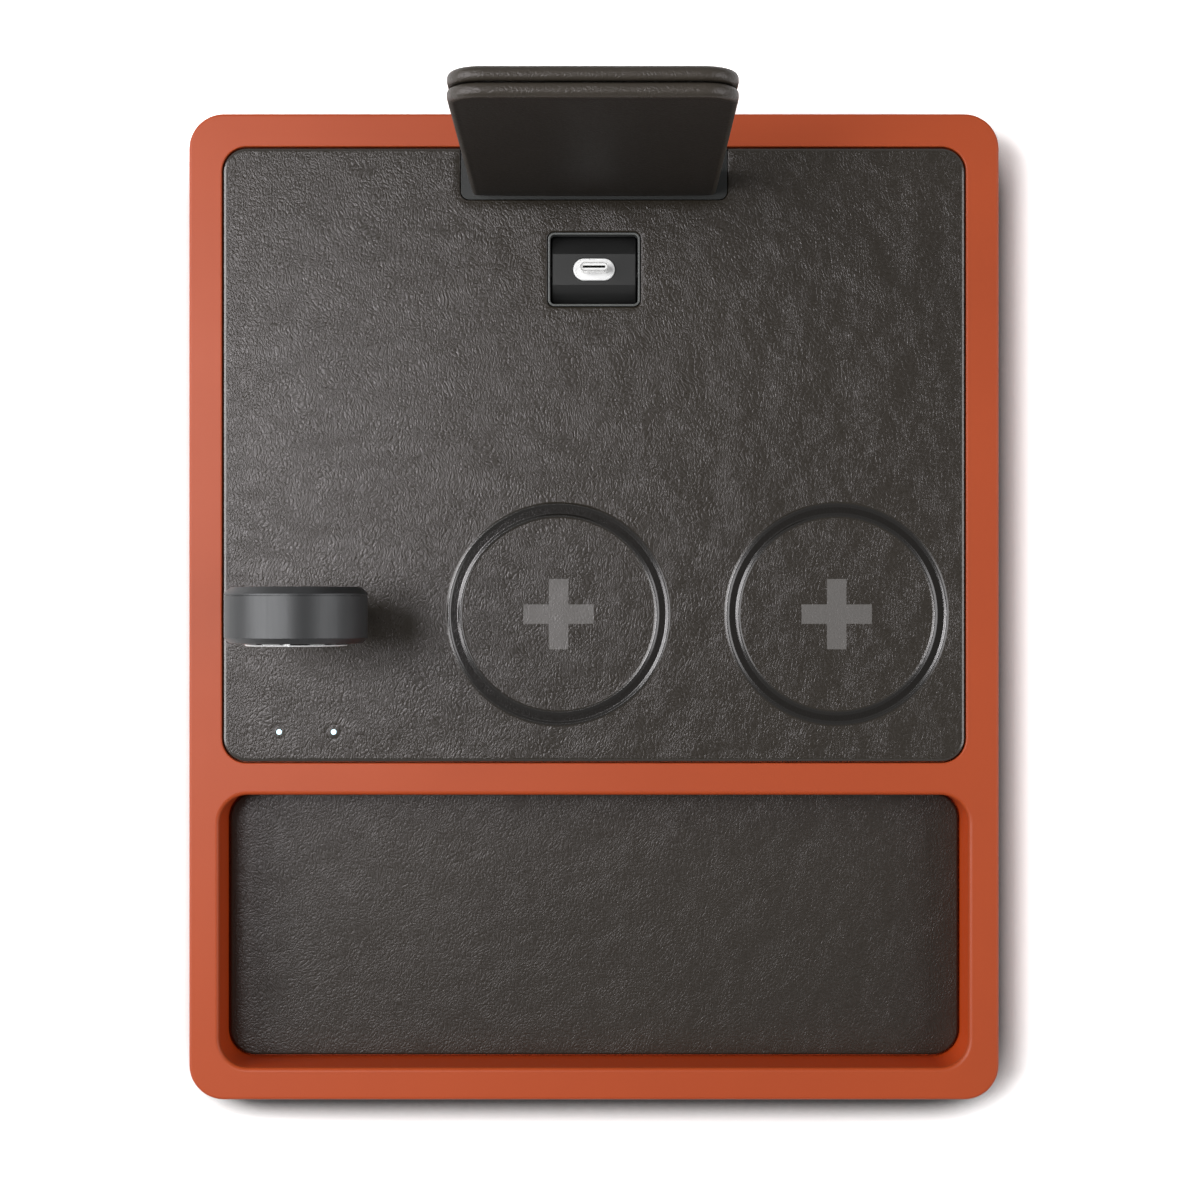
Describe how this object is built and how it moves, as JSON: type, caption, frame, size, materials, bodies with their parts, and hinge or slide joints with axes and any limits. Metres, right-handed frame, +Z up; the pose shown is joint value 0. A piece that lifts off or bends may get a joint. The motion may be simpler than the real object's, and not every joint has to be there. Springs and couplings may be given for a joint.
{
  "type": "charging station organizer",
  "caption": "Desk tray with a leather charging deck: padded phone backrest with a rocking plug, raised round watch charger, ring-marked wireless charging spots and an open tray in front.",
  "frame": {"origin": "centre of the footprint, on the surface that the feet stand on", "axes": "+Z up, +Y towards the phone backrest and the power inlet, -Y towards the tray, +X to the right"},
  "size_m": [0.242, 0.2946, 0.1609],
  "materials": {
    "frame_shell": "satin, orange",
    "deck_skin": "fine pebbled grain",
    "panel_board": "fibreboard",
    "deck_panel": "moulded",
    "black_plastic": "moulded",
    "dark_trim": "satin",
    "drum_plastic": "satin",
    "foot_rubber": "matt",
    "screw_steel": "zinc plated",
    "spine_steel": "sheet",
    "plug_white": "moulded",
    "plug_metal": "polished",
    "head_metal": "anodised, satin",
    "puck_white": "gloss",
    "copper": "wound wire",
    "ferrite": "sintered",
    "circuit_board": "solder mask",
    "chip_black": "moulded",
    "capacitor_can": "bright",
    "header_white": "moulded",
    "clear_pipe": "clear, lit from below",
    "light_chip": "lit"
  },
  "bodies": {
    "station": {"tray_frame": "frame_shell", "base_cover": "black_plastic", "base_screws": "screw_steel", "foot_front_left": "foot_rubber", "foot_front_right": "foot_rubber", "foot_rear_left": "foot_rubber", "foot_rear_right": "foot_rubber", "deck_board": "deck_panel", "deck_leather": "deck_skin", "deck_screws": "screw_steel", "tray_board": "panel_board", "tray_leather": "deck_skin", "coil_left": "copper", "coil_right": "copper", "ferrite_left": "ferrite", "ferrite_right": "ferrite", "coil_dish_left": "black_plastic", "coil_dish_right": "black_plastic", "dish_screws": "screw_steel", "rocker_bezel": "dark_trim", "rocker_cradle": "black_plastic", "cradle_screws": "screw_steel", "stand_foot_plate": "dark_trim", "stand_spine": "spine_steel", "stand_screws": "screw_steel", "stand_front_pad": "deck_skin", "stand_back_pad": "deck_skin", "watch_shell": "head_metal", "watch_back_cap": "head_metal", "watch_puck": "puck_white", "watch_coil": "copper", "watch_ferrite": "ferrite", "watch_stem": "head_metal", "stem_nut": "screw_steel", "control_board": "circuit_board", "board_screws": "screw_steel", "board_headers": "header_white", "board_inductors": "ferrite", "board_chips": "chip_black", "board_capacitors": "capacitor_can", "inlet_shell": "plug_metal", "inlet_tongue": "black_plastic", "light_holder": "black_plastic", "light_board": "circuit_board", "light_chips": "light_chip", "light_pipe_left": "clear_pipe", "light_pipe_right": "clear_pipe", "light_screws": "screw_steel"},
    "rocker": {"rocker_drum": "drum_plastic", "rocker_pin_left": "screw_steel", "rocker_pin_right": "screw_steel", "plug_body": "plug_white", "plug_tip": "plug_metal", "plug_insert": "plug_white", "plug_clamp": "black_plastic", "clamp_screws": "screw_steel"}
  },
  "joints": [
    {"name": "plug_tilt", "type": "hinge", "parent": "station", "child": "rocker", "pos_m": [0, 0.1008, 0.01662], "axis": [-1, 0, 0], "range_deg": [-15, 15]}
  ]
}
